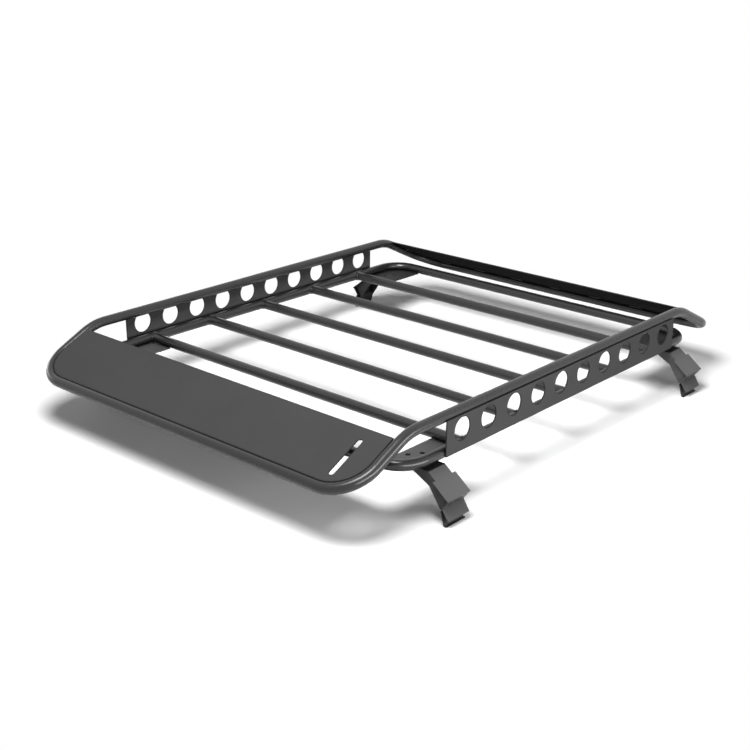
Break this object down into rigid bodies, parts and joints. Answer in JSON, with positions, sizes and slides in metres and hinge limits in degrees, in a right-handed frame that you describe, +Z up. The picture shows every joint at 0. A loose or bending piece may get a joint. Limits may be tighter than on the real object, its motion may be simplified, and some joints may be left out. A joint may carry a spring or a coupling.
{
  "type": "vehicle roof rack",
  "caption": "Steel tube roof basket with sloped front and rear panels, pierced side plates, crossbars and rain-gutter clamp feet.",
  "frame": {"origin": "on the ground under the middle of the rack, level with the undersides of the four toes", "axes": "+X forward towards the slotted panel, +Y to the left, +Z up"},
  "size_m": [1.5128, 1.175, 0.2225],
  "materials": {
    "tube_coat": "satin black powder coat on steel tube",
    "sheet_coat": "satin black powder coat on sheet steel",
    "foot_coat": "satin black powder coat on bent sheet steel"
  },
  "bodies": {
    "root": {"rail_left": "tube_coat", "rail_right": "tube_coat", "hoop_front": "tube_coat", "hoop_rear": "tube_coat", "base_left": "tube_coat", "base_right": "tube_coat", "base_front": "tube_coat", "base_rear": "tube_coat", "crossbar_1": "tube_coat", "crossbar_2": "tube_coat", "crossbar_3": "tube_coat", "crossbar_4": "tube_coat", "crossbar_5": "tube_coat", "side_plate_left": "sheet_coat", "side_plate_right": "sheet_coat", "panel_front": "sheet_coat", "panel_rear": "sheet_coat", "corner_plate_fl": "foot_coat", "corner_plate_fr": "foot_coat", "corner_plate_rl": "foot_coat", "corner_plate_rr": "foot_coat", "foot_leg_fl": "foot_coat", "foot_leg_fr": "foot_coat", "foot_leg_rl": "foot_coat", "foot_leg_rr": "foot_coat", "foot_clamp_fl": "foot_coat", "foot_clamp_fr": "foot_coat", "foot_clamp_rl": "foot_coat", "foot_clamp_rr": "foot_coat", "foot_toe_fl": "foot_coat", "foot_toe_fr": "foot_coat", "foot_toe_rl": "foot_coat", "foot_toe_rr": "foot_coat"}
  },
  "joints": []
}
